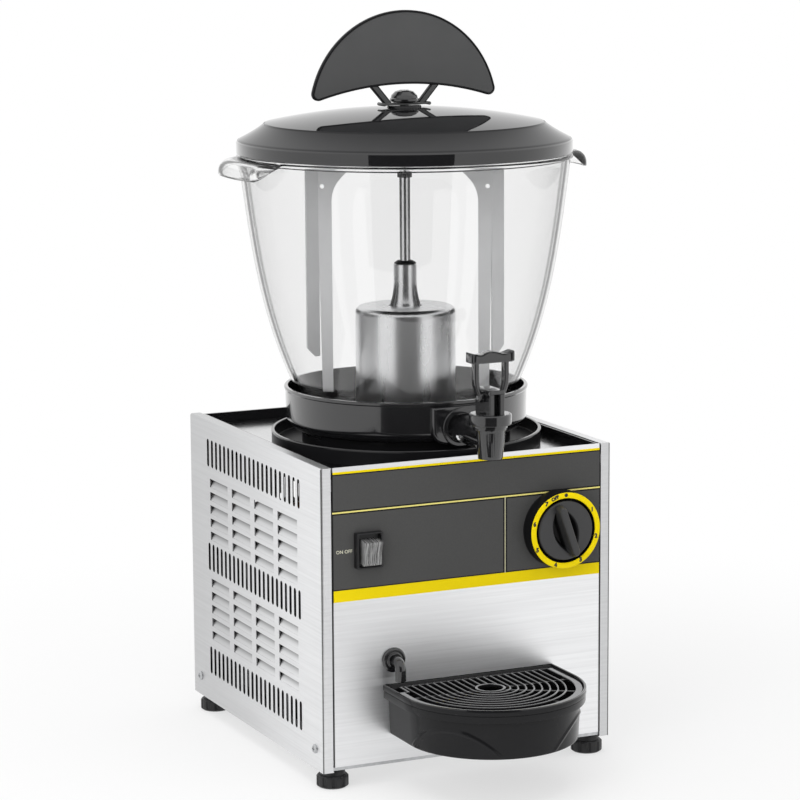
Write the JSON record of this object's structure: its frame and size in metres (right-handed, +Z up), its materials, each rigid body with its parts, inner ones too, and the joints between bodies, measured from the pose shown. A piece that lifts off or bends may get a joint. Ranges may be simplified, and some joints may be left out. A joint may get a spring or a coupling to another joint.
{
  "type": "cold drink dispenser",
  "caption": "Countertop cold drink dispenser: clear bowl with chilled steel cylinder, turning stirrer, sprung lever tap, black lid with sign, drip tray and vented stainless cabinet.",
  "frame": {"origin": "on the floor under the centre of the footprint, which includes the drip tray", "axes": "+Z up, -Y towards the user, so the tap and the drip tray are at -Y; +X to the user's right"},
  "size_m": [0.335, 0.433, 0.663],
  "materials": {
    "stainless": "brushed stainless sheet",
    "polished_steel": "bright finished stainless",
    "zinc": "bright zinc plated steel",
    "label_film": "dark grey printed film with yellow lines",
    "gloss_black": "moulded black plastic, high gloss",
    "satin_black": "moulded black plastic, satin",
    "sign_grey": "dark grey moulded plastic",
    "clear_plastic": "clear moulded polycarbonate",
    "smoked_lens": "grey ribbed lens",
    "dial_yellow": "black ring with a yellow printed face",
    "black_rubber": "black rubber",
    "grey_hose": "grey flexible tube",
    "copper": "drawn copper",
    "black_steel": "black painted steel",
    "finned_aluminium": "bare aluminium fins",
    "white_plastic": "white moulded plastic",
    "grey_casting": "grey painted casting"
  },
  "bodies": {
    "cabinet": {"base_pan": "zinc", "left_side_panel": "stainless", "right_side_panel": "stainless", "front_panel": "stainless", "rear_panel": "stainless", "top_plate": "polished_steel", "top_trim": "gloss_black", "control_label": "label_film", "base_saucer": "gloss_black", "evaporator_dome": "polished_steel", "evaporator_coil": "copper", "shaft_bush": "satin_black", "switch_housing": "satin_black", "dial_ring": "dial_yellow", "thermostat_body": "grey_casting", "compressor": "black_steel", "compressor_mounts": "black_rubber", "condenser": "finned_aluminium", "fan_shroud": "satin_black", "fan_strap": "zinc", "fan_motor": "satin_black", "filter_drier": "copper", "refrigerant_pipes": "copper", "gear_motor": "grey_casting", "motor_bracket": "zinc", "terminal_block": "white_plastic", "cable_gland": "satin_black", "drain_grommet": "black_rubber", "drain_elbow": "satin_black", "drain_hose": "grey_hose", "panel_screws": "zinc"},
    "stir_drive": {"drive_shaft": "polished_steel"},
    "fan": {"fan_blades": "white_plastic"},
    "rocker": {"switch_rocker": "smoked_lens"},
    "knob": {"thermostat_knob": "satin_black"},
    "tray": {"drip_tray": "gloss_black"},
    "grid": {"drip_grid": "gloss_black"},
    "front_left_foot": {"foot_front_left": "satin_black"},
    "front_right_foot": {"foot_front_right": "satin_black"},
    "rear_left_foot": {"foot_rear_left": "satin_black"},
    "rear_right_foot": {"foot_rear_right": "satin_black"},
    "bowl_unit": {"bowl": "clear_plastic", "bowl_lugs": "clear_plastic", "bowl_tub": "gloss_black", "bowl_seal": "black_rubber", "tap_body": "gloss_black", "tap_gasket": "black_rubber", "tap_nut": "satin_black", "tap_screw": "polished_steel", "tap_bonnet": "gloss_black", "tap_pivot_pin": "polished_steel", "tap_spring": "zinc"},
    "lever": {"tap_handle": "gloss_black"},
    "valve": {"tap_plunger": "white_plastic", "plunger_seal": "black_rubber"},
    "cover": {"lid": "gloss_black", "lid_sign": "sign_grey", "lid_knob": "gloss_black"},
    "stirrer": {"stirrer_frame": "polished_steel", "stirrer_hub": "satin_black"}
  },
  "joints": [
    {"name": "bowl_lift", "type": "slide", "parent": "cabinet", "child": "bowl_unit", "axis": [0, 0, 1], "range_m": [0, 0.26]},
    {"name": "lid_lift", "type": "slide", "parent": "bowl_unit", "child": "cover", "axis": [0, 0, 1], "range_m": [0, 0.15]},
    {"name": "stirrer_spin", "type": "hinge", "parent": "bowl_unit", "child": "stirrer", "pos_m": [0, 0.037, 0.5], "axis": [0, 0, 1], "continuous": true},
    {"name": "shaft_spin", "type": "hinge", "parent": "cabinet", "child": "stir_drive", "pos_m": [0, 0.037, 0.4], "axis": [0, 0, 1], "continuous": true},
    {"name": "tap_pull", "type": "hinge", "parent": "bowl_unit", "child": "lever", "pos_m": [0, -0.134, 0.3425], "axis": [1, 0, 0], "range_deg": [0, 45]},
    {"name": "valve_lift", "type": "slide", "parent": "bowl_unit", "child": "valve", "axis": [0, 0, 1], "range_m": [0, 0.005], "stiffness_N_per_m": 200, "springref_m": -0.003, "deforming": ["tap_spring"]},
    {"name": "rocker_tilt", "type": "hinge", "parent": "cabinet", "child": "rocker", "pos_m": [-0.0968, -0.0855, 0.2102], "axis": [-1, 0, 0], "range_deg": [0, 20]},
    {"name": "knob_turn", "type": "hinge", "parent": "cabinet", "child": "knob", "pos_m": [0.0877, -0.0915, 0.212], "axis": [0, 1, 0], "range_deg": [0, 300]},
    {"name": "tray_pull", "type": "slide", "parent": "cabinet", "child": "tray", "axis": [0, -1, 0], "range_m": [0, 0.06]},
    {"name": "grid_lift", "type": "slide", "parent": "tray", "child": "grid", "axis": [0, 0, 1], "range_m": [0, 0.05]},
    {"name": "fan_spin", "type": "hinge", "parent": "cabinet", "child": "fan", "pos_m": [-0.096, 0.0625, 0.125], "axis": [1, 0, 0], "continuous": true},
    {"name": "front_left_foot_turn", "type": "hinge", "parent": "cabinet", "child": "front_left_foot", "pos_m": [-0.125, -0.0765, 0.008], "axis": [0, 0, 1], "range_deg": [-360, 360]},
    {"name": "front_right_foot_turn", "type": "hinge", "parent": "cabinet", "child": "front_right_foot", "pos_m": [0.125, -0.0765, 0.008], "axis": [0, 0, 1], "range_deg": [-360, 360]},
    {"name": "rear_left_foot_turn", "type": "hinge", "parent": "cabinet", "child": "rear_left_foot", "pos_m": [-0.125, 0.2015, 0.008], "axis": [0, 0, 1], "range_deg": [-360, 360]},
    {"name": "rear_right_foot_turn", "type": "hinge", "parent": "cabinet", "child": "rear_right_foot", "pos_m": [0.125, 0.2015, 0.008], "axis": [0, 0, 1], "range_deg": [-360, 360]}
  ],
  "couplings": [
    {"joint": "shaft_spin", "follows": "stirrer_spin", "ratio": 1},
    {"joint": "tap_pull", "follows": "valve_lift", "rad_per_m": 157}
  ]
}
